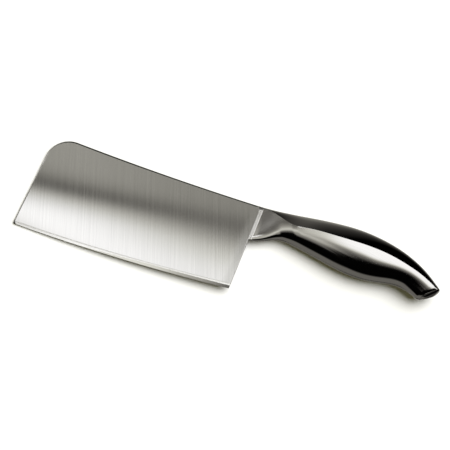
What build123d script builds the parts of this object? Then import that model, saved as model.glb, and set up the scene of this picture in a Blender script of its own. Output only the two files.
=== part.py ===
from build123d import *
from math import cos, hypot, radians, sin, tan
import os

# Chinese cleaver lying on its side, in millimetres.
# Datum while modelling: X = 0 on the heel line, blade towards -X, butt towards +X.
# Y = 0 lies just over the heel's top and the mid-plane of the plate on Z = 0.

# Blade plate
blade_length = 165.4
front_height = 78.5
heel_height = 68.4
edge_belly = 2.2
spine_drop = 0.8
spine_rise = 2.4
spine_hollow = 1.5
spine_thickness_heel = 2.8
spine_thickness_front = 2.2
edge_thickness_front = 0.865
front_corner_radius = 17.5
tip_corner_radius = 1.2
plate_rounding = 0.4
edge_angle = 12.0
edge_land = 0.1

# Stub tang behind the heel
tang_length = 12.0
tang_height = 17.0
tang_drop = 5.0
tang_thickness = 2.0
tang_clearance = 0.1

# Neck between blade and handle
weld_width = 2.2
heel_fillet = 1.6
neck_height = 27.6
neck_thickness = 3.8
neck_length = 14.0

# Hollow handle
grip_length = 138.2
grip_depth = 34.5
grip_thickness = 20.0
back_rise = 7.0
butt_drop = 18.2
crease_depth = 12.5
back_rounding = 3.0
wall = 1.2
spigot_length = 7.0
spigot_clearance = 0.15
seam_width = 1.2

# Butt cap and the weight behind it
cap_thickness = 4.0
cap_crown = 1.6
cap_crown_radius = 25.0
cap_rim_depth = 5.0
cap_edge_break = 1.0
cap_run_past = 5.0

# Cuts and joining forms run past the material by this much
overrun = 2.0

# Handle sections from the neck to just past the butt, in shares of the sizes above:
# back station, belly station (of grip_length), rise (of back_rise), drop (of butt_drop),
# neck (of neck_height and neck_thickness), depth (of grip_depth), half (of half grip_thickness),
# crease (of crease_depth), rounding (of back_rounding), flank reach, belly fullness.
section_shares = (
    (0.000, 0.000, -0.114, 0.000, 1.04, 0.000, 0.000, 0.064, 0.47, 0.95, 0.75),
    (0.042, 0.042, -0.03, 0.000, 0.80, 0.130, 0.118, 0.180, 0.50, 0.96, 0.82),
    (0.085, 0.085, 0.064, 0.000, 0.45, 0.324, 0.295, 0.376, 0.57, 0.92, 0.80),
    (0.130, 0.130, 0.18, 0.000, 0.15, 0.486, 0.490, 0.630, 0.67, 0.82, 0.76),
    (0.180, 0.180, 0.31, 0.000, 0.00, 0.597, 0.680, 0.820, 0.80, 0.70, 0.72),
    (0.275, 0.270, 0.60, 0.000, 0.00, 0.650, 0.840, 0.910, 0.93, 0.62, 0.70),
    (0.390, 0.382, 0.89, 0.000, 0.00, 0.736, 0.950, 0.960, 1.00, 0.62, 0.70),
    (0.515, 0.500, 1.035, 0.000, 0.00, 0.817, 1.000, 1.000, 1.00, 0.62, 0.70),
    (0.635, 0.607, 1.00, 0.060, 0.00, 0.829, 0.980, 0.940, 1.00, 0.62, 0.70),
    (0.745, 0.698, 0.84, 0.180, 0.00, 0.768, 0.910, 0.820, 0.95, 0.62, 0.70),
    (0.840, 0.774, 0.55, 0.340, 0.00, 0.716, 0.830, 0.670, 0.93, 0.62, 0.70),
    (0.925, 0.846, 0.224, 0.590, 0.00, 0.754, 0.740, 0.450, 1.00, 0.62, 0.70),
    (1.006, 0.912, 0.00, 1.000, 0.00, 0.868, 0.660, 0.240, 1.20, 0.62, 0.70),
)
# Share of the crease depth that the upper facet runs straight before it rounds over,
# and how much of the wall the crease of the cavity shifts towards the belly
facet_run_share = 0.4
crease_shift_share = 0.27
facet_lean = 21.0
flank_lean = 2.5

half_grip = grip_thickness / 2
half_neck = neck_thickness / 2
half_spine = spine_thickness_heel / 2


def section_sizes(shares):
    """Back point, belly point and sizes of one handle section."""
    back_at, belly_at, rise, drop, neck, depth, half, crease, rounding, reach, fullness = shares
    back = (weld_width + grip_length * back_at, back_rise * rise - butt_drop * drop)
    belly = (weld_width + grip_length * belly_at, -neck_height * neck - grip_depth * depth)
    half_size = half_neck * neck + half_grip * half
    return back, belly, half_size, crease_depth * crease, back_rounding * rounding, reach, fullness


def section_plane(back, belly):
    """Plane of a section: its X runs from belly to back, its Y is the thickness."""
    span = hypot(back[0] - belly[0], back[1] - belly[1])
    up = ((back[0] - belly[0]) / span, (back[1] - belly[1]) / span, 0)
    return Plane(origin=(belly[0], belly[1], 0), x_dir=up, z_dir=(up[1], -up[0], 0))


def draw_section(sizes, inset, rise=0):
    """Closed outline of one section, inset from the handle's skin and raised off its plane."""
    back, belly, half, crease, rounding, reach, fullness = sizes
    top = hypot(back[0] - belly[0], back[1] - belly[1]) - inset
    crease_at = top + inset - crease - inset * crease_shift_share
    height = half - inset
    corner = rounding * height / half
    run = (top - crease_at) * facet_run_share
    facet = (crease_at + run * cos(radians(facet_lean)), height - run * sin(radians(facet_lean)))
    length = (crease_at - inset) * reach
    flank = (crease_at - length * cos(radians(flank_lean)), height - length * sin(radians(flank_lean)))
    with BuildSketch(section_plane(back, belly).offset(rise)) as section:
        with BuildLine():
            Bezier((top, 0), (top, corner), facet, (crease_at, height))
            Bezier((crease_at, height), flank, (inset, height * fullness), (inset, 0))
            mirror(about=Plane.XZ)
        make_face()
    return section.sketch


def grip_form(sections, inset):
    """Solid through the handle's sections, with its skin inset by a wall."""
    with BuildPart() as form:
        for sizes in sections:
            add(draw_section(sizes, inset))
        loft()
    return form.part


sections = [section_sizes(shares) for shares in section_shares]
butt = section_plane(sections[-1][0], sections[-1][1])
butt_step = butt.z_dir * cap_run_past
past_butt = (
    (sections[-1][0][0] + butt_step.X, sections[-1][0][1] + butt_step.Y),
    (sections[-1][1][0] + butt_step.X, sections[-1][1][1] + butt_step.Y),
) + sections[-1][2:]
sections.append(past_butt)

grip_outside = grip_form(sections, 0)
grip_cavity = grip_form(sections[1:], wall)
grip_core = grip_form(sections[1:], wall + spigot_clearance)

shoulder = Plane.YZ.offset(neck_length)
shell_front = Plane.YZ.offset(neck_length + seam_width)
spigot_end = Plane.YZ.offset(neck_length + spigot_length)
cap_seat = butt.offset(-cap_thickness)
shell_back = cap_seat.offset(-seam_width)
cap_rim_end = cap_seat.offset(-cap_rim_depth)
weight_front = section_plane(sections[9][0], sections[9][1])
seam_above = Plane.XY.offset(seam_width / 2)
seam_below = Plane.XY.offset(-seam_width / 2)

# Blade: a plate that thins towards the front and the edge, ground on both sides
heel_top = -spine_drop
front_top = heel_top + spine_rise
spine_middle = (heel_top + front_top) / 2 - spine_hollow
heel_foot = heel_top - heel_height
front_foot = front_top - front_height
edge_middle = (heel_foot + front_foot) / 2 - edge_belly
bevel_rise = half_spine + overrun
bevel_reach = bevel_rise / tan(radians(edge_angle))
land_reach = edge_land / 2 / tan(radians(edge_angle))
thinning_forward = (spine_thickness_heel - spine_thickness_front) / 2 / blade_length
thinning_down = (spine_thickness_front - edge_thickness_front) / 2 / front_height
plate_side = Plane(origin=(0, 0, half_spine), z_dir=(-thinning_forward, -thinning_down, 1))
plate_far_side = Plane(origin=(0, 0, -half_spine), z_dir=(-thinning_forward, -thinning_down, -1))

with BuildPart() as blade:
    with BuildSketch(Plane.XY):
        with BuildLine():
            Line((0, heel_foot), (0, heel_top))
            ThreePointArc((0, heel_top), (-blade_length / 2, spine_middle), (-blade_length, front_top))
            Line((-blade_length, front_top), (-blade_length, front_foot))
            ThreePointArc((-blade_length, front_foot), (-blade_length / 2, edge_middle), (0, heel_foot))
        make_face()
        front_corner = vertices().group_by(Axis.X)[0].sort_by(Axis.Y)[-1]
        fillet(front_corner, radius=front_corner_radius)
    extrude(amount=half_spine + overrun, both=True)
    split(bisect_by=plate_side, keep=Keep.BOTTOM)
    split(bisect_by=plate_far_side, keep=Keep.BOTTOM)
    plate_faces = blade.faces().sort_by(SortBy.AREA)[-2:]
    eased = [edge for face in plate_faces for edge in face.edges() if edge.center().Y > heel_foot]
    fillet(eased, radius=plate_rounding)
    for level, shift in ((-bevel_rise, bevel_reach), (0, 0), (bevel_rise, bevel_reach)):
        drop = shift - land_reach
        with BuildSketch(Plane.XY.offset(level)):
            with BuildLine():
                Line((overrun, spine_rise), (-blade_length - overrun, spine_rise))
                Line((-blade_length - overrun, spine_rise), (-blade_length - overrun, front_foot + drop))
                Line((-blade_length - overrun, front_foot + drop), (-blade_length, front_foot + drop))
                ThreePointArc(
                    (-blade_length, front_foot + drop),
                    (-blade_length / 2, edge_middle + drop),
                    (0, heel_foot + drop),
                )
                Line((0, heel_foot + drop), (overrun, heel_foot + drop))
                Line((overrun, heel_foot + drop), (overrun, spine_rise))
            make_face()
    loft(ruled=True, mode=Mode.INTERSECT)
    with BuildSketch(Plane.XY):
        with Locations((-blade_length + tip_corner_radius, front_foot + tip_corner_radius)):
            Rectangle(tip_corner_radius + overrun, tip_corner_radius + overrun, align=(Align.MAX, Align.MAX))
            Circle(tip_corner_radius, mode=Mode.SUBTRACT)
    extrude(amount=bevel_rise, both=True, mode=Mode.SUBTRACT)
    with BuildSketch(Plane.YZ):
        with Locations((-tang_drop - tang_height / 2, 0)):
            Rectangle(tang_height, tang_thickness)
    extrude(amount=tang_length)

# Raised weld that runs round the tang between the blade and the neck
neck_front = sections[0]
weld_toe = (
    (0, neck_front[0][1]),
    (0, neck_front[1][1] - heel_fillet),
    half_spine,
) + neck_front[3:]

with BuildPart() as neck_weld:
    add(draw_section(weld_toe, 0))
    add(draw_section(neck_front, 0))
    loft(ruled=True)
    with BuildSketch(Plane.YZ):
        with Locations((-tang_drop - tang_height / 2, 0)):
            Rectangle(tang_height + tang_clearance * 2, tang_thickness + tang_clearance * 2)
    extrude(amount=weld_width, mode=Mode.SUBTRACT)

# Neck block with the slot for the tang and the spigot that the shells close over
with BuildPart() as spigot:
    add(grip_core)
    split(bisect_by=shoulder, keep=Keep.TOP)
    split(bisect_by=spigot_end, keep=Keep.BOTTOM)

with BuildPart() as bolster:
    add(grip_outside)
    split(bisect_by=shoulder, keep=Keep.BOTTOM)
    add(spigot.part)
    with BuildSketch(Plane.YZ):
        with Locations((-tang_drop - tang_height / 2, 0)):
            Rectangle(tang_height + tang_clearance * 2, tang_thickness + tang_clearance * 2)
    extrude(amount=tang_length + tang_clearance, mode=Mode.SUBTRACT)

# Walls of the hollow handle, from which shells and welds are cut
with BuildPart() as tube:
    add(grip_outside)
    add(grip_cavity, mode=Mode.SUBTRACT)
    split(bisect_by=shoulder, keep=Keep.TOP)
    split(bisect_by=cap_seat, keep=Keep.BOTTOM)

with BuildPart() as shell_pair:
    add(tube.part)
    split(bisect_by=shell_front, keep=Keep.TOP)
    split(bisect_by=shell_back, keep=Keep.BOTTOM)

with BuildPart() as handle_shell_left:
    add(shell_pair.part)
    split(bisect_by=seam_above, keep=Keep.TOP)

with BuildPart() as handle_shell_right:
    add(shell_pair.part)
    split(bisect_by=seam_below, keep=Keep.BOTTOM)

# Welds along the back and the belly, ground flush with the shells
with BuildPart() as seam_pair:
    add(shell_pair.part)
    split(bisect_by=seam_above, keep=Keep.BOTTOM)
    split(bisect_by=seam_below, keep=Keep.TOP)

with BuildPart() as seam_weld_top:
    add(seam_pair.solids().sort_by(Axis.Y)[-1])

with BuildPart() as seam_weld_bottom:
    add(seam_pair.solids().sort_by(Axis.Y)[0])

# Welds round the neck shoulder and round the cap
with BuildPart() as bolster_weld:
    add(tube.part)
    split(bisect_by=shell_front, keep=Keep.BOTTOM)

with BuildPart() as cap_weld:
    add(tube.part)
    split(bisect_by=shell_back, keep=Keep.TOP)

# Slightly crowned end plate with its locating rim
butt_sizes = sections[-2]
crown_x = (butt_sizes[0][0] + butt_sizes[1][0]) / 2
crown_y = (butt_sizes[0][1] + butt_sizes[1][1]) / 2
crown_base = Plane(origin=(crown_x, crown_y, 0), z_dir=butt.z_dir)
crown_top = cap_edge_break + cap_crown

with BuildPart() as cap_rim:
    add(grip_core)
    split(bisect_by=cap_rim_end, keep=Keep.TOP)
    split(bisect_by=cap_seat, keep=Keep.BOTTOM)

with BuildPart() as cap_dome:
    add(draw_section(butt_sizes, 0))
    add(draw_section(butt_sizes, cap_edge_break, cap_edge_break))
    add(draw_section(butt_sizes, cap_edge_break, crown_top))
    loft(ruled=True)
    with Locations(crown_base.offset(crown_top - cap_crown_radius)):
        Sphere(cap_crown_radius, mode=Mode.INTERSECT)

with BuildPart() as butt_cap:
    add(grip_outside)
    split(bisect_by=cap_seat, keep=Keep.TOP)
    split(bisect_by=butt, keep=Keep.BOTTOM)
    add(cap_dome.part)
    add(cap_rim.part)

# Slug that fills the hollow against the cap and balances the blade
with BuildPart() as balance_weight:
    add(grip_core)
    split(bisect_by=weight_front, keep=Keep.TOP)
    split(bisect_by=cap_rim_end, keep=Keep.BOTTOM)

blade.part.label = "blade"
neck_weld.part.label = "neck_weld"
bolster.part.label = "bolster"
bolster_weld.part.label = "bolster_weld"
handle_shell_left.part.label = "handle_shell_left"
handle_shell_right.part.label = "handle_shell_right"
seam_weld_top.part.label = "seam_weld_top"
seam_weld_bottom.part.label = "seam_weld_bottom"
cap_weld.part.label = "cap_weld"
butt_cap.part.label = "butt_cap"
balance_weight.part.label = "balance_weight"

pieces = (
    blade, neck_weld, bolster, bolster_weld, handle_shell_left, handle_shell_right,
    seam_weld_top, seam_weld_bottom, cap_weld, butt_cap, balance_weight,
)

# The knife is written with its origin under the middle of its whole extent
extent = Compound([piece.part for piece in pieces]).bounding_box()
to_frame = Location((-extent.center().X, -extent.center().Y, -extent.min.Z))

os.makedirs("parts", exist_ok=True)
for piece in pieces:
    export_step(piece.part.moved(to_frame), f"parts/{piece.part.label}.step")
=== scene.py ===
import bpy
import bmesh
import numpy as np
from math import atan2, cos, hypot, pi, radians, sin, tan
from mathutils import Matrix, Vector


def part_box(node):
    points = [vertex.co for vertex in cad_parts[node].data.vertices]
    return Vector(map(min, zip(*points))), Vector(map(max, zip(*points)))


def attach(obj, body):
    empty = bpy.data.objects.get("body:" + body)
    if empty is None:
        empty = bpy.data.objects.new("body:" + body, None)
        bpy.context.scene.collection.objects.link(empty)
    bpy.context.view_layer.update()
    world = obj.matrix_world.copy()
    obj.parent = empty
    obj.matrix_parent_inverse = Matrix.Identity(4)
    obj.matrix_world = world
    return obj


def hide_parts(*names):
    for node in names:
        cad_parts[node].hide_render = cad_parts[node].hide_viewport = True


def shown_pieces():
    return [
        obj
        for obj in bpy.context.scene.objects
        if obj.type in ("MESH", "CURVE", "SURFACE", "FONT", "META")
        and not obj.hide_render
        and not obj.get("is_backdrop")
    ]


# Chinese cleaver lying on its side: brushed plate blade, bright polished hollow handle.
# Metres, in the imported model's frame: +X to the butt, +Y to the spine, +Z up.

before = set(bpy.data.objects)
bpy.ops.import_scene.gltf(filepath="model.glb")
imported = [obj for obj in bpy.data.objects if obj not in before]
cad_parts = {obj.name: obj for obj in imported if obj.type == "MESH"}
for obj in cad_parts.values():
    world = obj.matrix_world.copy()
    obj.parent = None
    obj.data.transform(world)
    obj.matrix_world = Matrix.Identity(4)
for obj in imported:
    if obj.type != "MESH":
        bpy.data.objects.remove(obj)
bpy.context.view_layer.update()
MM = 0.001
MICRON = 0.000001

# Places read from the frame; the datum lies just over the heel's top
spine_drop = 0.8 * MM
weld_low, weld_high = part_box("neck_weld")
blade_low, blade_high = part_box("blade")
heel_x = weld_low.x
datum_y = weld_high.y + spine_drop
middle_z = (blade_low.z + blade_high.z) / 2
front_x = blade_low.x

# Sizes of the blade
blade_length = heel_x - front_x
front_height = 78.5 * MM
heel_height = 68.4 * MM
edge_belly = 2.2 * MM
spine_rise = 2.4 * MM
spine_hollow = 1.5 * MM
spine_thickness = 2.8 * MM
front_thickness = 2.2 * MM
edge_thickness = 0.865 * MM
front_corner_radius = 17.5 * MM
tip_corner_radius = 1.2 * MM
plate_rounding = 0.4 * MM
spine_rounding = 1.0 * MM
spine_round_reach = 1.5 * MM
front_rounding = 0.5 * MM
front_round_reach = 0.9 * MM
edge_angle = radians(12.0)
edge_land = 0.1 * MM
edge_wear = 0.002 * MM
shoulder_run = 0.1 * MM

# Heights of the blade's outline over the datum
heel_top = -spine_drop
front_top = heel_top + spine_rise
heel_foot = heel_top - heel_height + edge_wear
front_foot = front_top - front_height + edge_wear

# Grinding of the blade: lean of the brushed lines, middle and amount of the plate's twist,
# softer polish beside the weld, and the steeper zone of the bevel, which opens at ground_start
# of the way from the front to the heel
brush_lean = radians(20.7)
brush_middle = -60.0 * MM
blade_twist = -0.114
soft_polish_reach = 9.0 * MM
soft_polish = 0.08
ground_zone = 2.2 * MM
ground_start = 0.25
ground_widening = 2.5
ground_tilt_share = 0.95

# Sizes of the neck and the hollow handle
weld_width = 2.2 * MM
heel_fillet = 1.6 * MM
bead_toe = 2.4 * MM
bead_sink = 0.03 * MM
neck_height = 27.6 * MM
neck_thickness = 3.8 * MM
grip_length = 138.2 * MM
grip_depth = 34.5 * MM
grip_thickness = 20.0 * MM
back_rise = 7.0 * MM
butt_drop = 18.2 * MM
crease_depth = 12.5 * MM
back_rounding = 3.0 * MM
cap_thickness = 4.0 * MM
cap_crown = 1.6 * MM
cap_edge_break = 1.0 * MM
cap_round = 3.0 * MM
cap_inset_share = 0.6
cap_ease_share = 0.7
facet_run_share = 0.4
facet_lean = radians(21.0)
# the flanks lean by this where the handle is thickest, down to a share where it is thin
flank_lean = radians(3.5)
thin_lean_share = 0.7
polish_depth = 0.01 * MM

# Handle sections: back station, belly station, rise, drop, neck, depth, half thickness,
# crease, rounding, flank reach and belly fullness, as shares of the sizes above
section_shares = (
    (0.000, 0.000, -0.114, 0.000, 1.04, 0.000, 0.000, 0.064, 0.47, 0.985, 0.95),
    (0.042, 0.042, -0.03, 0.000, 0.80, 0.130, 0.118, 0.180, 0.50, 0.985, 0.95),
    (0.085, 0.085, 0.064, 0.000, 0.45, 0.324, 0.295, 0.376, 0.57, 0.955, 0.88),
    (0.130, 0.130, 0.18, 0.000, 0.15, 0.486, 0.490, 0.630, 0.67, 0.82, 0.76),
    (0.180, 0.180, 0.31, 0.000, 0.00, 0.597, 0.680, 0.870, 0.80, 0.70, 0.72),
    (0.275, 0.270, 0.60, 0.000, 0.00, 0.650, 0.840, 0.990, 0.93, 0.62, 0.70),
    (0.390, 0.382, 0.89, 0.000, 0.00, 0.736, 0.950, 1.100, 1.00, 0.62, 0.70),
    (0.515, 0.500, 1.035, 0.000, 0.00, 0.817, 1.000, 1.145, 1.00, 0.62, 0.70),
    (0.635, 0.607, 1.00, 0.060, 0.00, 0.829, 0.980, 1.040, 1.00, 0.62, 0.70),
    (0.745, 0.698, 0.84, 0.180, 0.00, 0.768, 0.910, 0.895, 0.95, 0.62, 0.70),
    (0.840, 0.774, 0.55, 0.340, 0.00, 0.716, 0.830, 0.732, 0.93, 0.62, 0.70),
    (0.925, 0.846, 0.224, 0.590, 0.00, 0.754, 0.740, 0.500, 1.00, 0.62, 0.70),
    (1.006, 0.912, 0.00, 1.000, 0.00, 0.868, 0.660, 0.250, 1.20, 0.62, 0.70),
)
# Places of the sizes in the row of numbers that section_sizes makes of them
BACK_X, BACK_Y, BELLY_X, BELLY_Y, HALF = range(5)

# Steps of the meshes: round the plate's edges, along the parts of its outline, round and along
# the handle, over the butt and across the weld
round_steps = 6
ground_from_step = 3
spine_points = 60
corner_points = 40
front_points = 12
tip_points = 9
edge_points = 90
heel_points = 16
facet_points = 10
flank_points = 26
ring_points = 2 * (facet_points + flank_points)
ring_step = 1.0 * MM
cap_steps = 10
crown_shares = (0.93, 0.82, 0.65, 0.45, 0.25, 0.1)
bead_steps = 9

# Room left beside the tip corner, as shares of its radius, and its turn past straight down
tip_share_above = 0.2
tip_share_behind = 1.3
tip_overturn = 0.05

# Camera of the photograph, found from the blade's outline
view_azimuth = radians(20.747)
view_elevation = radians(65.0)
view_distance = 900.0 * MM
view_target = Vector((heel_x - 20.08 * MM, datum_y - 23.62 * MM, middle_z))
picture_width_px = 450
focal_px = 1235.4
sensor_width_mm = 36.0
near_limit = 50.0 * MM

# Light on the pale floor, which shows just over white where no shadow falls
floor_tone = 0.9
floor_shown = 1.12
floor_size = 2.0
floor_gap = 0.05 * MM
fill_level = 0.09
fill_colour = (1.0, 0.9, 0.08, 1)
key_azimuth = radians(117.0)
key_elevation = radians(61.0)
key_softness = radians(60.0)

picture_right = Vector((cos(view_azimuth), sin(view_azimuth), 0))
towards_viewer = Vector((sin(view_azimuth), -cos(view_azimuth), 0))


# ---- small helpers

def new_object(name, data):
    """Object in the scene round a mesh, lamp or camera."""
    made = bpy.data.objects.new(name, data)
    bpy.context.scene.collection.objects.link(made)
    return made


def mesh_object(bm, name, material):
    """Turns a bmesh into an object with one material."""
    mesh = bpy.data.meshes.new(name)
    bm.to_mesh(mesh)
    bm.free()
    mesh.materials.append(material)
    return new_object(name, mesh)


def finish_piece(bm, name, material, replaced):
    """Turns a bmesh into a named piece that rides on the knife and stands for CAD nodes."""
    piece = mesh_object(bm, name, material)
    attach(piece, "root")
    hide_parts(*replaced)
    return piece


def natural_spline(knots, values):
    """Smooth curve through the values, straight at its ends; gives a function of the station."""
    knots = np.asarray(knots, float)
    values = np.asarray(values, float)
    steps = np.diff(knots)
    count = len(knots)
    matrix = np.eye(count)
    right = np.zeros_like(values)
    for i in range(1, count - 1):
        matrix[i, i - 1:i + 2] = steps[i - 1], 2 * (steps[i - 1] + steps[i]), steps[i]
        slopes = np.diff(values[i - 1:i + 2], axis=0) / steps[i - 1:i + 1, None]
        right[i] = 6 * (slopes[1] - slopes[0])
    bends = np.linalg.solve(matrix, right)

    def at(station):
        i = int(np.clip(np.searchsorted(knots, station) - 1, 0, count - 2))
        step = steps[i]
        back = (knots[i + 1] - station) / step
        ahead = (station - knots[i]) / step
        curve = (back ** 3 - back) * bends[i] + (ahead ** 3 - ahead) * bends[i + 1]
        return back * values[i] + ahead * values[i + 1] + curve * step ** 2 / 6

    return at


def bezier(points, count):
    """Points along a cubic curve, without its last point."""
    a, b, c, d = (np.array(p) for p in points)
    t = np.arange(count)[:, None] / count
    return a * (1 - t) ** 3 + b * 3 * t * (1 - t) ** 2 + c * 3 * t * t * (1 - t) + d * t ** 3


# ---- skins: rings of points, each extruded from the one before

def new_skin():
    """Empty mesh with room for each point's place on the skin."""
    bm = bmesh.new()
    bm.verts.layers.float_vector.new("on_skin")
    return bm


def round_pairs(ring):
    """Neighbours all round a ring."""
    return list(zip(ring, ring[1:] + ring[:1]))


def start_ring(bm, places):
    """First ring of a skin."""
    ring = bmesh.ops.create_circle(bm, segments=len(places), radius=neck_height)["verts"]
    for vert, place in zip(ring, places):
        vert.co = place
    return ring


def grow_ring(bm, ring, places):
    """Extrudes the open ring and sets the new one on its places, in the same order."""
    rim = [bm.edges.get(pair) for pair in round_pairs(ring)]
    grown = set(v for v in bmesh.ops.extrude_edge_only(bm, edges=rim)["geom"]
                if isinstance(v, bmesh.types.BMVert))
    ahead = [next(e.other_vert(v) for e in v.link_edges if e.other_vert(v) in grown) for v in ring]
    for vert, place in zip(ahead, places):
        vert.co = place
    return ahead


def grow_skin(bm, rows):
    """Skin through rows of places; gives its rings."""
    rings = [start_ring(bm, rows[0])]
    for places in rows[1:]:
        rings.append(grow_ring(bm, rings[-1], places))
    return rings


def close_skin(bm, rings):
    """Closes both open ends, turns all faces outwards and gives the two new faces."""
    ends = []
    for ring in (rings[0], rings[-1]):
        ends += bmesh.ops.contextual_create(bm, geom=ring)["faces"]
    bmesh.ops.recalc_face_normals(bm, faces=bm.faces)
    return ends


def mark_skin(bm, rings, crisp=()):
    """Smooth faces, crisp lines along the creases, and where each point lies on the skin."""
    for face in bm.faces:
        face.smooth = True
    for before, after in zip(rings, rings[1:]):
        for i in crisp:
            bm.edges.get((before[i], after[i])).smooth = False
    place = bm.verts.layers.float_vector["on_skin"]
    travelled = 0.0
    for before, ring in zip([rings[0]] + rings, rings):
        travelled += sum(((a.co - b.co).length for a, b in zip(before, ring)), 0.0) / len(ring)
        around = 0.0
        for i, vert in enumerate(ring):
            if i:
                around += (vert.co - ring[i - 1].co).length
            vert[place] = (around, travelled, 0)


# ---- sections of the neck and handle

def section_sizes(shares):
    """Back point, belly point and sizes of one section, as one row of numbers."""
    back_at, belly_at, rise, drop, neck, depth, half, crease, rounding, reach, fullness = shares
    return (
        weld_width + grip_length * back_at,
        back_rise * rise - butt_drop * drop,
        weld_width + grip_length * belly_at,
        -neck_height * neck - grip_depth * depth,
        neck_thickness / 2 * neck + grip_thickness / 2 * half,
        crease_depth * crease,
        back_rounding * rounding,
        reach,
        fullness,
    )


key_sections = np.array([section_sizes(shares) for shares in section_shares])
key_middles = (key_sections[:, [BACK_X, BACK_Y]] + key_sections[:, [BELLY_X, BELLY_Y]]) / 2
key_stations = np.concatenate([[0], np.cumsum(np.hypot(*np.diff(key_middles, axis=0).T))])
section_at = natural_spline(key_stations, key_sections)
handle_end = key_stations[-1]
cap_seat = handle_end - cap_thickness
crease_lines = (facet_points, ring_points - facet_points)


def section_axes(sizes):
    """Depth of a section, its direction from belly to back and the one out towards the butt."""
    back_x, back_y, belly_x, belly_y = sizes[:HALF]
    depth = hypot(back_x - belly_x, back_y - belly_y)
    up = Vector(((back_x - belly_x) / depth, (back_y - belly_y) / depth, 0))
    return depth, up, Vector((up.y, -up.x, 0))


def section_outline(sizes, depth, inset):
    """Ring of (up the section, across it) round one section, from the back edge and round."""
    half, crease, rounding, reach, fullness = sizes[HALF:]
    top = depth - inset
    crease_at = depth - crease
    height = half - inset
    run = (top - crease_at) * facet_run_share
    facet = (crease_at + run * cos(facet_lean), height - run * sin(facet_lean))
    length = (crease_at - inset) * reach
    thick_share = half / (grip_thickness / 2)
    lean = flank_lean * (thin_lean_share + (1 - thin_lean_share) * thick_share)
    flank = (crease_at - length * cos(lean), height - length * sin(lean))
    crease_point = (crease_at, height)
    upper = np.concatenate([
        bezier(((top, 0), (top, rounding), facet, crease_point), facet_points),
        bezier((crease_point, flank, (inset, height * fullness), (inset, 0)), flank_points),
    ])
    lower = np.concatenate([[upper[0]], [[inset, 0]], upper[:0:-1]])[1:] * (1, -1)
    return np.concatenate([upper, lower])


def section_places(sizes, inset=polish_depth):
    """The same ring in space."""
    depth, up = section_axes(sizes)[:2]
    foot = Vector((heel_x + sizes[BELLY_X], datum_y + sizes[BELLY_Y], middle_z))
    return [foot + up * u + Vector((0, 0, v)) for u, v in section_outline(sizes, depth, inset)]


# ---- shader nodes

def plug(tree, source, target, socket):
    """Links an output to an input, or sets the input to a plain value."""
    if isinstance(source, bpy.types.NodeSocket):
        tree.links.new(source, target.inputs[socket])
    else:
        target.inputs[socket].default_value = source


def node(tree, kind, inputs=None, **settings):
    """Shader node with its settings, and with links or plain values on its inputs."""
    made = tree.nodes.new("ShaderNode" + kind)
    for setting, value in settings.items():
        setattr(made, setting, value)
    for socket, source in (inputs or {}).items():
        plug(tree, source, made, socket)
    return made


def math_node(tree, operation, a, b=0.0):
    return node(tree, "Math", {0: a, 1: b}, operation=operation).outputs[0]


def soft_step(tree, value, start, end):
    """0 before start, 1 past end, eased between them."""
    inputs = {"Value": value, "From Min": start, "From Max": end}
    return node(tree, "MapRange", inputs, interpolation_type="SMOOTHSTEP").outputs["Result"]


def blend(tree, share, a, b):
    """a where share is 0, b where it is 1."""
    return node(tree, "Mix", {0: share, 2: a, 3: b}, data_type="FLOAT").outputs[0]


def ramp(tree, factor, stops):
    """Colour ramp, straight between (place, grey or colour) stops."""
    made = node(tree, "ValToRGB", {"Fac": factor})
    elements = made.color_ramp.elements
    while len(elements) < len(stops):
        elements.new(1.0)
    for element, (place, tone) in zip(elements, stops):
        element.position = place
        element.color = (tone, tone, tone, 1) if isinstance(tone, float) else (*tone, 1)
    return made.outputs["Color"]


def tone_curve(tree, angle, stops):
    """Brightness by angle, straight between the (degrees, tone) stops."""
    first, last = stops[0][0], stops[-1][0]
    place = math_node(tree, "DIVIDE", math_node(tree, "SUBTRACT", angle, first), last - first)
    grey = ramp(tree, place, [((at - first) / (last - first), tone) for at, tone in stops])
    # times 1 turns the grey colour into a number
    return math_node(tree, "MULTIPLY", grey, 1.0)


def streaks(tree, place, across, along):
    """Noise drawn out into lines: features per metre across the lines and along them."""
    scaled = node(tree, "Mapping", {"Vector": place, "Scale": (across, along, along)})
    inputs = {"Vector": scaled.outputs[0], "Scale": 1.0, "Detail": 2.0}
    return node(tree, "TexNoise", inputs).outputs["Fac"]


# ---- materials

# Most of the noise lies between these two; it varies the roughness by up to this share
noise_low, noise_high = 0.3, 0.7
rough_spread = 0.2


def new_material(name):
    """Material with its node tree and its shader."""
    material = bpy.data.materials.new(name)
    material.use_nodes = True
    return material, material.node_tree, material.node_tree.nodes["Principled BSDF"]


def object_place(tree):
    return node(tree, "TexCoord").outputs["Object"]


def brushed_place(tree):
    """Place turned so that the brushed lines of the blade run along its Y."""
    inputs = {"Vector": object_place(tree), "Angle": -brush_lean}
    return node(tree, "VectorRotate", inputs, rotation_type="Z_AXIS").outputs[0]


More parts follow.
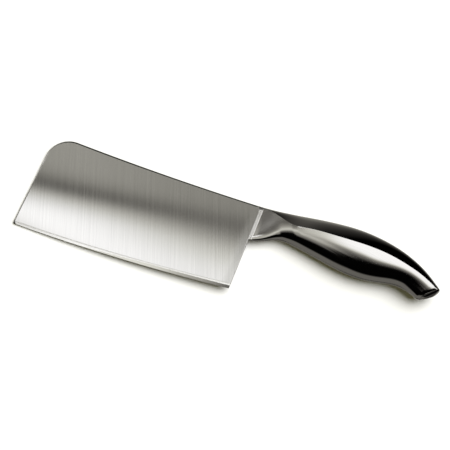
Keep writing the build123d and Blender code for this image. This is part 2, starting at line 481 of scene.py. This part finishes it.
def steel(name, metal, roughness, spread, lines, line_depth, on_skin=False, anisotropy=0.0):
    """Bare metal with grinding lines, each layer as (features across, along, share). They run
    across the blade, or with on_skin along the handle."""
    material, tree, shader = new_material(name)
    plug(tree, 1.0, shader, "Metallic")
    plug(tree, anisotropy, shader, "Anisotropic")
    if on_skin:
        place = node(tree, "Attribute", attribute_name="on_skin").outputs["Vector"]
    else:
        place = brushed_place(tree)
    total = None
    for across, along, share in lines:
        layer = math_node(tree, "MULTIPLY", streaks(tree, place, across, along), share)
        total = layer if total is None else math_node(tree, "ADD", total, layer)
    dark = tuple(channel * (1 - spread) for channel in metal)
    light = tuple(min(channel * (1 + spread), 1.0) for channel in metal)
    tone = ramp(tree, total, ((noise_low, dark), (noise_high, light)))
    rough = node(tree, "MapRange", {
        "Value": total,
        "To Min": roughness * (1 - rough_spread),
        "To Max": roughness * (1 + rough_spread),
    }, name="line_roughness")
    bump = node(tree, "Bump", {
        "Strength": 1.0, "Distance": line_depth, "Height": total}, name="line_bump")
    plug(tree, tone, shader, "Base Color")
    plug(tree, rough.outputs["Result"], shader, "Roughness")
    plug(tree, bump.outputs["Normal"], shader, "Normal")
    return material


def add_tilt(tree, height):
    """Turns the ground surface under its lines, by a height in metres."""
    tilt = node(tree, "Bump", {"Strength": 1.0, "Distance": 1.0, "Height": height})
    plug(tree, tilt.outputs["Normal"], tree.nodes["line_bump"], "Normal")


def brushed_blade_steel():
    """Satin plate, brushed slantwise across the blade and a touch twisted by the grinding."""
    material = steel(
        "blade_steel", (0.62, 0.615, 0.61), roughness=0.085, spread=0.075,
        lines=((1500.0, 14.0, 0.6), (800.0, 9.0, 0.3), (250.0, 5.0, 0.1)),
        line_depth=1.0 * MICRON, anisotropy=1.0)
    tree = material.node_tree
    shader = tree.nodes["Principled BSDF"]
    tangent = node(tree, "CombineXYZ", {"X": cos(brush_lean), "Y": sin(brush_lean)})
    plug(tree, tangent.outputs[0], shader, "Tangent")

    # twist: the height grows with the product of two places
    brushed = node(tree, "SeparateXYZ", {0: brushed_place(tree)})
    across = math_node(tree, "SUBTRACT", brushed.outputs["X"], brush_middle)
    product = math_node(tree, "MULTIPLY", across, brushed.outputs["Y"])
    add_tilt(tree, math_node(tree, "MULTIPLY", product, blade_twist))

    # softer polish beside the weld
    place = node(tree, "SeparateXYZ", {0: object_place(tree)})
    beside = soft_step(tree, place.outputs["X"], heel_x - soft_polish_reach, heel_x - bead_toe)
    softer = math_node(tree, "MULTIPLY", beside, soft_polish)
    line_roughness = tree.nodes["line_roughness"].outputs["Result"]
    plug(tree, math_node(tree, "ADD", line_roughness, softer), shader, "Roughness")
    return material


def ground_edge_steel():
    """Fine grind of the bevel: it shades as flush with the plate, but in a low zone that widens
    to the heel more and more at its own angle."""
    material = steel(
        "edge_steel", (0.9, 0.895, 0.89), roughness=0.13, spread=0.04,
        lines=((1500.0, 200.0, 0.5), (400.0, 60.0, 0.5)), line_depth=0.3 * MICRON)
    tree = material.node_tree
    place = node(tree, "SeparateXYZ", {0: object_place(tree)})

    def calc(operation, a, b):
        return math_node(tree, operation, a, b)

    def clamped(value, most):
        return calc("MINIMUM", calc("MAXIMUM", value, 0.0), most)

    # share of the way from the front to the heel, and height over the curved edge there
    past = calc("DIVIDE", calc("SUBTRACT", place.outputs["X"], front_x), blade_length)
    past = clamped(past, 1.0)
    sag = calc("MULTIPLY", calc("MULTIPLY", past, calc("SUBTRACT", 1.0, past)), 4 * edge_belly)
    climb = calc("SUBTRACT", calc("MULTIPLY", past, heel_foot - front_foot), sag)
    height = calc("SUBTRACT", place.outputs["Y"], datum_y + front_foot)
    height = calc("SUBTRACT", height, climb)

    # the bevel's own slope is taken back, wholly over the zone and in part within it
    opened = calc("SUBTRACT", past, ground_start)
    zone = clamped(calc("MULTIPLY", opened, ground_widening * ground_zone), ground_zone)
    kept_slope = calc("MULTIPLY", calc("MULTIPLY", past, past), ground_tilt_share)
    over_zone = calc("MAXIMUM", calc("SUBTRACT", height, zone), 0.0)
    in_zone = calc("MULTIPLY", calc("MINIMUM", height, zone), calc("SUBTRACT", 1.0, kept_slope))
    taken_back = calc("ADD", over_zone, in_zone)
    add_tilt(tree, calc("MULTIPLY", taken_back, -tan(edge_angle)))
    return material


def polished_handle_steel(name, roughness, metal=(0.66, 0.65, 0.64)):
    """Bright polish with faint lines along the handle."""
    return steel(
        name, metal, roughness, spread=0.06,
        lines=((3000.0, 12.0, 0.4), (900.0, 8.0, 0.35), (250.0, 5.0, 0.25)),
        line_depth=1.0 * MICRON, on_skin=True)


def cast_iron():
    """Rough slug inside the handle."""
    return steel(
        "weight_iron", (0.28, 0.28, 0.28), roughness=0.6, spread=0.2,
        lines=((900.0, 900.0, 0.6), (200.0, 200.0, 0.4)), line_depth=0.05 * MM)


blade_steel = brushed_blade_steel()
edge_steel = ground_edge_steel()
handle_steel = polished_handle_steel("handle_steel", 0.07)
bead_steel = polished_handle_steel("weld_steel", 0.2, (0.84, 0.83, 0.82))
cap_steel = polished_handle_steel("cap_steel", 0.07)
weight_iron = cast_iron()


def dress(node_name, material):
    """Gives a carried-over CAD node its finish."""
    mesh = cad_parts[node_name].data
    mesh.materials.clear()
    mesh.materials.append(material)


dress("balance_weight", weight_iron)


# ---- blade: plate with rounded spine, square heel and double bevel

thinning_forward = (spine_thickness - front_thickness) / 2 / blade_length
thinning_down = (front_thickness - edge_thickness) / 2 / front_height


def half_plate(x, y):
    """Half thickness of the plate at a place counted from the heel and the spine."""
    return spine_thickness / 2 + thinning_forward * x + thinning_down * y


def rounded_profile(reach, depth):
    """(inset, drop) steps over a rounded plate edge."""
    turns = np.linspace(0, pi / 2, round_steps + 1)
    return [(reach * (1 - sin(turn)), depth * (1 - cos(turn))) for turn in turns]


def bevel_profile(x, y, inward):
    """(inset, drop) steps from the plate over the eased shoulder and down the bevel."""
    fall = thinning_forward * inward[0] + thinning_down * inward[1]
    grind = tan(edge_angle)
    top = half_plate(x, y)
    reach = (top - edge_land / 2) / (grind - fall)
    start = np.array((reach + shoulder_run, (reach + shoulder_run) * fall))
    corner = np.array((reach, reach * fall))
    end = np.array((reach - shoulder_run, (reach - shoulder_run) * grind - top + edge_land / 2))
    foot = np.array((0.0, edge_land / 2 - top))
    steps = [start * (1 - t) ** 2 + corner * 2 * t * (1 - t) + end * t * t
             for t in (0, 0.25, 0.5, 0.75, 1)]
    steps += [(end + foot) / 2, foot]
    return [(inset, half_plate(x + inward[0] * inset, y + inward[1] * inset) - top - height)
            for inset, height in steps]


def mixed_profiles(first, seconds):
    """Profiles on the way from the first to each of the others in turn, the last one whole."""
    shares = np.linspace(0, 1, len(seconds))
    return [[(a[0] * (1 - share) + b[0] * share, a[1] * (1 - share) + b[1] * share)
             for a, b in zip(first, second)] for share, second in zip(shares, seconds)]


def arc_through(first, middle, last):
    """Centre, radius and both end turns of the arc through three points."""
    (ax, ay), (bx, by), (cx, cy) = first, middle, last
    spread = 2 * (ax * (by - cy) + bx * (cy - ay) + cx * (ay - by))
    a, b, c = ax * ax + ay * ay, bx * bx + by * by, cx * cx + cy * cy
    centre = ((a * (by - cy) + b * (cy - ay) + c * (ay - by)) / spread,
              (a * (cx - bx) + b * (ax - cx) + c * (bx - ax)) / spread)
    turns = [atan2(y - centre[1], x - centre[0]) for x, y in (first, last)]
    return centre, hypot(ax - centre[0], ay - centre[1]), turns


def arc_points(centre, radius, turns, count, inward=-1):
    """Places on an arc, both ends included, with directions into the plate."""
    return [((centre[0] + radius * cos(turn), centre[1] + radius * sin(turn)),
             (inward * cos(turn), inward * sin(turn)))
            for turn in np.linspace(*turns, count)]


def blade_outline():
    """Points round the blade from the heel's top over the spine, and which of them lie on the
    ground edge. Each is a place with its (direction into the plate, profile) pairs: one, or at
    the heel's corner one for each of the two edges that meet there."""
    spine_profile = rounded_profile(spine_round_reach, spine_rounding)
    thin_profile = rounded_profile(plate_rounding, plate_rounding)
    front_profile = rounded_profile(front_round_reach, front_rounding)

    # hollow spine, and the front corner that touches it and the front edge
    spine_middle = (-blade_length / 2, (heel_top + front_top) / 2 - spine_hollow)
    spine_centre, spine_radius, spine_turns = arc_through(
        (0.0, heel_top), spine_middle, (-blade_length, front_top))
    corner_x = front_corner_radius - blade_length
    corner_y = spine_centre[1] - (
        (spine_radius + front_corner_radius) ** 2 - (corner_x - spine_centre[0]) ** 2) ** 0.5
    touch = atan2(spine_centre[1] - corner_y, spine_centre[0] - corner_x)
    spine_turns = (spine_turns[0] - spine_round_reach / spine_radius, touch - pi)
    spine = arc_points(spine_centre, spine_radius, spine_turns, spine_points, inward=1)[:-1]
    points = [(place, ((inward, spine_profile),)) for place, inward in spine]
    corner = arc_points((corner_x, corner_y), front_corner_radius, (touch, pi), corner_points)
    profiles = mixed_profiles(spine_profile, [front_profile] * corner_points)
    points += [(place, ((inward, profile),)) for (place, inward), profile in zip(corner, profiles)]

    # front edge and the small tip corner
    tip = (tip_corner_radius - blade_length, front_foot + tip_corner_radius)
    front_end = tip[1] + tip_corner_radius * tip_share_above
    points += [((-blade_length, y), (((1.0, 0.0), front_profile),))
               for y in np.linspace(corner_y, front_end, front_points)[1:-1]]
    turned = arc_points(tip, tip_corner_radius, (pi, 1.5 * pi + tip_overturn), tip_points)
    profiles = mixed_profiles(
        front_profile, [bevel_profile(*place, (0.0, 1.0)) for place, inward in turned])
    points += [(place, ((inward, profile),)) for (place, inward), profile in zip(turned, profiles)]

    # ground edge with its belly, and the square heel; its corner is as low as the bevel
    edge_middle = (-blade_length / 2, (heel_foot + front_foot) / 2 - edge_belly)
    centre, radius, turns = arc_through((-blade_length, front_foot), edge_middle, (0.0, heel_foot))
    turns[0] += tip_corner_radius * tip_share_behind / radius
    on_edge = range(len(points), len(points) + edge_points)
    points += [(place, ((inward, bevel_profile(*place, inward)),))
               for place, inward in arc_points(centre, radius, turns, edge_points)]
    place, ((inward, ground),) = points[-1]
    points[-1] = (place, (((0.0, 1.0), ground), ((-1.0, 0.0), thin_profile)))
    points += [((0.0, y), (((-1.0, 0.0), thin_profile),))
               for y in np.linspace(heel_foot, heel_top - plate_rounding, heel_points)[1:]]
    return points, on_edge


def blade_level(outline, step):
    """Places round the blade at one step of the profiles, with their half thickness."""
    level = []
    for (x, y), sides in outline:
        drop = sides[0][1][step][1]
        for inward, profile in sides:
            x += inward[0] * profile[step][0]
            y += inward[1] * profile[step][0]
        level.append((x, y, half_plate(x, y) - drop))
    return level


def make_blade():
    bm = new_skin()
    outline, on_edge = blade_outline()
    levels = [blade_level(outline, step) for step in range(round_steps + 1)]
    rings = grow_skin(bm, [
        [Vector((heel_x + x, datum_y + y, middle_z + side * half)) for x, y, half in level]
        for side, order in ((1, levels), (-1, levels[::-1])) for level in order])
    for face in bm.faces:
        face.smooth = True

    # crisp lines: round both sides, along the cutting edge and at the heel's corner
    crisp = round_pairs(rings[0]) + round_pairs(rings[-1])
    crisp += [(ring[i - 1], ring[i])
              for ring in rings[round_steps:round_steps + 2] for i in on_edge[1:]]
    crisp += [(before[on_edge[-1]], after[on_edge[-1]]) for before, after in zip(rings, rings[1:])]
    for pair in crisp:
        bm.edges.get(pair).smooth = False

    # the bevel has the finish of its own, which is the second material
    bevelled = set(ring[i] for ring in rings[ground_from_step:-ground_from_step] for i in on_edge)
    for face in bm.faces:
        face.material_index = int(all(vert in bevelled for vert in face.verts))
    for face in close_skin(bm, rings):
        face.material_index = 0
    blade = finish_piece(bm, "blade_leaf", blade_steel, ("blade",))
    blade.data.materials.append(edge_steel)


# ---- neck and handle: one ground and polished skin over shells, welds and neck block

def make_handle():
    bm = new_skin()
    stations = np.linspace(0, cap_seat, int(cap_seat / ring_step))
    rings = grow_skin(bm, [section_places(section_at(station)) for station in stations])
    mark_skin(bm, rings, crease_lines)
    close_skin(bm, rings)
    finish_piece(bm, "handle_skin", handle_steel,
                 ("handle_shell_left", "handle_shell_right", "bolster", "bolster_weld",
                  "seam_weld_top", "seam_weld_bottom", "cap_weld"))


def make_cap():
    """Butt plate: the last of the handle's skin, rounded over to a low crown, least at the back."""
    bm = new_skin()
    reaches = []
    for i in range(ring_points):
        share = min(min(i, ring_points - i) / (ring_points // 2) / cap_ease_share, 1.0)
        eased = share ** 2 * (3 - 2 * share)
        reaches.append(cap_edge_break + (cap_round - cap_edge_break) * eased)

    def rounded_ring(turn):
        """Ring where the rounding has turned so far; each point has its own reach."""
        places = []
        for i, reach in enumerate(reaches):
            sizes = section_at(handle_end - reach * (1 - sin(turn)))
            places.append(section_places(sizes, reach * cap_inset_share * (1 - cos(turn)))[i])
        return places

    rows = [section_places(section_at(cap_seat))]
    rows += [rounded_ring(turn) for turn in np.linspace(0, pi / 2, cap_steps)]
    rim = rows[-1]
    centre = sum(rim, Vector()) / len(rim)
    out = section_axes(section_at(handle_end))[-1]
    for share in crown_shares:
        lift = out * cap_crown * (1 - share ** 2)
        rows.append([centre.lerp(place, share) + lift for place in rim])
    rings = grow_skin(bm, rows)
    mark_skin(bm, rings)
    for i in crease_lines:
        bm.edges.get((rings[0][i], rings[1][i])).smooth = False
    close_skin(bm, rings)
    finish_piece(bm, "end_cap", cap_steel, ("butt_cap",))


def make_bead():
    """Raised weld between blade and neck: it leaves the plate in a hollow curve."""
    bm = new_skin()
    neck = section_at(0)
    toe_half = spine_thickness / 2 - bead_sink
    rows = []
    for share in np.linspace(0, 1, bead_steps):
        climb = share ** 2
        sizes = np.array(neck)
        sizes[[BACK_X, BELLY_X]] = -bead_toe + (weld_width + bead_toe) * share
        sizes[BELLY_Y] = neck[BELLY_Y] - heel_fillet * (1 - share) ** 2
        sizes[HALF] = toe_half * (1 - climb) + neck_thickness / 2 * climb
        rows.append(section_places(sizes))
    rings = grow_skin(bm, rows)
    mark_skin(bm, rings)
    close_skin(bm, rings)
    finish_piece(bm, "neck_bead", bead_steel, ("neck_weld",))


make_blade()
make_handle()
make_cap()
make_bead()


# ---- stage: pale floor that the knife rests on

def resting_plane():
    """Height at the front of the blade and slope along X at which the knife lies on the floor."""
    low_front = blade_low.z
    slope = min((vert.co.z - low_front) / (vert.co.x - front_x)
                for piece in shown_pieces() for vert in piece.data.vertices if vert.co.x > heel_x)
    return low_front, slope


def make_floor():
    material, tree, shader = new_material("floor_paper")
    plug(tree, (floor_tone, floor_tone, floor_tone, 1), shader, "Base Color")
    plug(tree, 1.0, shader, "Roughness")
    plug(tree, 0.0, shader, "Specular IOR Level")
    low_front, slope = resting_plane()
    bm = bmesh.new()
    bmesh.ops.create_grid(bm, x_segments=1, y_segments=1, size=floor_size)
    for vert in bm.verts:
        vert.co.z = low_front + slope * (vert.co.x - front_x) - floor_gap
    floor = mesh_object(bm, "floor", material)
    floor.visible_glossy = False
    floor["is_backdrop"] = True


make_floor()


# ---- studio that the steel reflects, set as brightness over angles in degrees

# Three angles lay it out. side: degrees to the right. over: 0 on the viewer's horizon, 90
# straight up, 180 on the far horizon. lean: over, on lines that run down to the right.
# A pair below is an eased step on the angle that its comment names, from nothing to whole.
lean_per_side = 0.42

# Pale table in front: its end by lean, its right limit by side and, near the viewer, a wider
# one; past its corner to the left it ends ever lower
table_end = (24.0, 0.0)
table_right = (14.0, 8.0)
near_table = (-12.0, -26.0)
near_table_right = (36.0, 31.0)
table_corner = 28.0
table_corner_fall = -1.4
table_tone = 0.172

# It is darker close by, by lean, from here on by side, as painted shade of the knife on the table,
# and all along the right, by side
dark_table = (-48.0, -76.0)
dark_table_left = (-26.0, -12.0)
dark_table_right = (12.0, 22.0)
dark_table_tone = 0.065

# Soft panel overhead to the left: tones by lean near the middle, between and away, all with
# the strip that weld and neck reflect
weld_strip = ((113.3, 0.14), (114.2, 2.0), (124.0, 2.0), (130.0, 0.3), (150.0, 0.3))
left_near = (
    (60.0, 0.001), (76.0, 0.002), (79.5, 0.02), (82.5, 0.13), (85.5, 0.33), (88.5, 0.58),
    (91.5, 0.74), (94.5, 0.8), (97.5, 0.7), (100.0, 0.62), (104.0, 0.58), (107.0, 0.5),
    (109.0, 0.3), (111.0, 0.14)) + weld_strip
left_between = (
    (60.0, 0.001), (72.0, 0.005), (75.0, 0.08), (79.0, 0.18), (84.0, 0.32), (91.0, 0.36),
    (95.0, 0.56), (98.0, 0.74), (100.5, 0.86), (103.0, 0.55), (106.0, 0.32), (109.0, 0.22),
    (111.0, 0.15)) + weld_strip
left_away = (
    (60.0, 0.001), (84.0, 0.002), (88.0, 0.06), (92.0, 0.14), (95.0, 0.24), (98.0, 0.52),
    (101.0, 0.75), (104.0, 0.76), (107.0, 0.5), (110.0, 0.34), (111.3, 0.22)) + weld_strip

# By side it turns from near to between and away, and fades to a share; by over it is cut off
between_from = (-12.5, -15.5)
away_from = (-19.0, -22.5)
left_fade = (-34.0, -42.0)
left_faded_share = 0.25
left_cut = (122.3, 123.6)
left_cut_share = 0.08

# Bright panel overhead, which whitens the lower half of the blade: tones by lean, which to
# the right, by side, are met this many degrees earlier
middle_tones = (
    (80.0, 0.001), (87.5, 0.002), (90.0, 0.02), (92.0, 0.06), (94.0, 0.13), (96.0, 0.2),
    (98.0, 0.33), (99.0, 0.5), (100.0, 0.78), (101.0, 1.05), (102.0, 1.28), (104.0, 1.4),
    (110.0, 1.44))
middle_earlier_from = (2.0, 7.0)
middle_earlier = 2.2

# Dark gap past it and the dim panel behind that: tones by over, counted from the gap's
# middle, to the left and to the right, and the change between them by side
gap_middle = 115.03
gap_left = (
    (-2.4, 1.85), (-1.1, 1.75), (-0.85, 1.45), (-0.65, 1.25), (-0.45, 0.93), (-0.27, 0.5),
    (-0.12, 0.14), (0.0, 0.03), (0.12, 0.07), (0.3, 0.24), (0.6, 0.46), (1.0, 0.55), (6.0, 0.56))
gap_right = (
    (-3.0, 1.25), (-2.2, 1.14), (-1.75, 0.92), (-1.3, 0.7), (-1.1, 0.58), (-0.85, 0.42),
    (-0.6, 0.3), (-0.2, 0.2), (0.1, 0.2), (0.45, 0.3), (0.7, 0.355), (6.0, 0.355))
gap_change = (-9.5, 0.5)

# Ends of the dim panel by lean, to the left, in the middle and to the right, and the changes
# between them by side
dim_left_end = (119.0, 117.0)
dim_middle_end = (122.0, 119.5)
dim_right_end = (140.0, 128.0)
dim_middle_from = (-3.0, -0.5)
dim_right_from = (0.8, 2.0)

# Border between the left panel and the others by side, at four heights. The first three
# follow one another by lean; the top one counts past the plate's line, and further over, by
# over, lies this many degrees to the right.
border_low = (-14.0, -7.5)
border_middle = (-14.5, -0.5)
border_high = (-11.5, 3.0)
border_top = (-13.8, -12.4)
border_middle_from = (84.0, 90.0)
border_high_from = (97.0, 101.0)
border_moved_from = (114.4, 115.2)
border_moved = 3.0
plate_line = (109.0, 109.7)
plate_line_per_side = 0.36

# Far table behind the knife: tones by over with an offset less a share of side, so that its
# edge runs down to the right. It starts by over, and is on the right by side only, until it
# is everywhere by over.
far_tones = (
    (158.0, 0.0), (163.0, 0.01), (170.0, 0.03), (179.0, 0.07), (187.0, 0.13), (193.0, 0.2),
    (200.0, 0.26), (214.0, 0.37))
far_offset = 25.0
far_per_side = 1.88
far_from = (138.0, 158.0)
far_right = (-2.5, 1.0)
far_everywhere = (200.0, 215.0)

# Grey walls beside the dark surround: where they start by side, their feet and tops by over
right_wall_from = (34.0, 42.0)
left_wall_from = (-60.0, -68.0)
back_wall_from = (-13.0, -20.0)
wall_foot = (-8.0, 4.0)
wall_top = (92.0, 84.0)
back_wall_foot = (126.0, 136.0)
back_wall_top = (184.0, 176.0)
wall_tone = 0.5

# Low grey panel in front to the right, for the blade seen from behind: sides, foot and top
low_panel_left = (13.0, 18.0)
low_panel_right = (34.0, 28.0)
low_panel_foot = (6.0, 10.0)
low_panel_top = (25.0, 19.0)
low_panel_share = 0.5

# Warm tint of the dimmer reflections, by tone as a share of the brightest that it counts for
tint_brightest = 1.4
tint_stops = (
    (0.0, (1.0, 0.945, 0.86)), (0.25, (1.0, 0.975, 0.87)), (0.65, (1.0, 0.995, 0.91)),
    (0.85, (1.0, 1.0, 0.97)), (1.0, (1.0, 1.0, 1.0)))


def studio_tones(tree, direction):
    """What the steel sees: table, dark gaps and panels, by angle over the top and to the side."""

    def along(axis):
        dot = node(tree, "VectorMath", {0: direction, 1: axis}, operation="DOT_PRODUCT")
        return dot.outputs["Value"]

    def calc(operation, a, b=0.0):
        return math_node(tree, operation, a, b)

    def chain(operation, values):
        total = values[0]
        for value in values[1:]:
            total = calc(operation, total, value)
        return total

    def plus(*values):
        return chain("ADD", values)

    def times(*values):
        return chain("MULTIPLY", values)

    def step(angle, pair):
        return soft_step(tree, angle, *pair)

    def mix(share, a, b):
        return blend(tree, share, a, b)

    def curve(angle, stops):
        return tone_curve(tree, angle, stops)

    side = calc("DEGREES", calc("ARCSINE", along(picture_right)))
    turn = calc("DEGREES", calc("ARCTAN2", along(towards_viewer), along((0, 0, 1))))
    over = calc("SUBTRACT", 90.0, turn)
    lean = plus(over, times(side, lean_per_side))

    # pale table in front
    corner = times(calc("MINIMUM", plus(side, table_corner), 0.0), table_corner_fall)
    right_limit = mix(
        step(lean, near_table), step(side, table_right), step(side, near_table_right))
    # painted shade: the table seen darker close to the knife
    darker = times(step(lean, dark_table), step(side, dark_table_left))
    darker = calc("MAXIMUM", darker, step(side, dark_table_right))
    table = times(step(plus(lean, corner), table_end), right_limit,
                  mix(darker, table_tone, dark_table_tone))

    # panel overhead to the left
    left = mix(step(side, between_from), curve(lean, left_near), curve(lean, left_between))
    left = mix(step(side, away_from), left, curve(lean, left_away))
    left = times(left, mix(step(side, left_fade), 1.0, left_faded_share),
                 mix(step(over, left_cut), 1.0, left_cut_share))

    # bright panel overhead, the dark gap past it and the dim panel
    earlier = times(step(side, middle_earlier_from), middle_earlier)
    middle = curve(plus(lean, earlier), middle_tones)
    past_gap = calc("SUBTRACT", over, gap_middle)
    gap = mix(step(side, gap_change), curve(past_gap, gap_left), curve(past_gap, gap_right))
    dim_end = mix(step(side, dim_middle_from), step(lean, dim_left_end), step(lean, dim_middle_end))
    dim_end = mix(step(side, dim_right_from), dim_end, step(lean, dim_right_end))
    gap = times(gap, dim_end)

    # border between the left panel and the others
    border = mix(step(lean, border_middle_from), step(side, border_low), step(side, border_middle))
    border = mix(step(lean, border_high_from), border, step(side, border_high))
    low = mix(border, left, middle)
    moved = calc("SUBTRACT", side, times(step(over, border_moved_from), border_moved))
    high = mix(step(moved, border_top), left, gap)
    line = plus(over, times(side, plate_line_per_side))
    panels = mix(step(line, plate_line), low, high)

    # far table
    edge = calc("SUBTRACT", plus(over, far_offset), times(side, far_per_side))
    reach = calc("MAXIMUM", step(side, far_right), step(over, far_everywhere))
    far = times(curve(edge, far_tones), step(over, far_from), reach)

    # grey walls and the low panel
    standing = times(step(over, wall_foot), step(over, wall_top))
    walls = plus(
        times(step(side, right_wall_from), standing),
        times(step(side, left_wall_from), standing),
        times(step(side, back_wall_from), step(over, back_wall_foot), step(over, back_wall_top)),
        times(step(side, low_panel_left), step(side, low_panel_right),
              step(over, low_panel_foot), step(over, low_panel_top), low_panel_share))
    return plus(table, panels, far, times(walls, wall_tone))


def studio_world():
    """White surround for the camera; steel sees the studio; plain level fill for the rest."""
    world = bpy.data.worlds.new("studio")
    bpy.context.scene.world = world
    world.use_nodes = True
    tree = world.node_tree
    tree.nodes.clear()

    def background(colour, strength=1.0):
        return node(tree, "Background", {"Color": colour, "Strength": strength}).outputs[0]

    def choice(share, otherwise, then):
        return node(tree, "MixShader", {"Fac": share, 1: otherwise, 2: then}).outputs[0]

    tones = studio_tones(tree, node(tree, "TexCoord").outputs["Generated"])
    tint = ramp(tree, math_node(tree, "DIVIDE", tones, tint_brightest), tint_stops)
    studio = node(tree, "VectorMath", {0: tint, "Scale": tones}, operation="SCALE").outputs[0]
    path = node(tree, "LightPath")
    unseen = choice(path.outputs["Is Glossy Ray"],
                    background(fill_colour, fill_level), background(studio))
    seen = choice(path.outputs["Is Camera Ray"], unseen, background((1, 1, 1, 1)))
    node(tree, "OutputWorld", {"Surface": seen})


# ---- lamp and camera

def aim(holder, back, distance):
    """Places a lamp or camera out from the knife, looking back at it."""
    holder.location = view_target + back * distance
    holder.rotation_euler = (-back).to_track_quat("-Z", "Y").to_euler()


def make_key_lamp():
    """Broad lamp behind the spine; its soft shadow falls towards the viewer."""
    lamp = bpy.data.lights.new("key_lamp", "SUN")
    lamp.angle = key_softness
    lamp.color = (1.0, 1.0, 1.0)
    lamp.energy = (floor_shown / floor_tone - fill_level) * pi / sin(key_elevation)
    holder = new_object("key_lamp", lamp)
    holder.visible_glossy = False
    level = cos(key_elevation)
    aim(holder, Vector((
        sin(key_azimuth) * level, -cos(key_azimuth) * level, sin(key_elevation))), 1.0)


def make_camera():
    data = bpy.data.cameras.new("camera")
    data.sensor_width = sensor_width_mm
    data.lens = sensor_width_mm * focal_px / picture_width_px
    data.clip_start = near_limit
    camera = new_object("camera", data)
    back = towards_viewer * cos(view_elevation) + Vector((0, 0, sin(view_elevation)))
    aim(camera, back, view_distance)
    bpy.context.scene.camera = camera


studio_world()
make_key_lamp()
make_camera()
bpy.context.scene.view_settings.view_transform = "Standard"
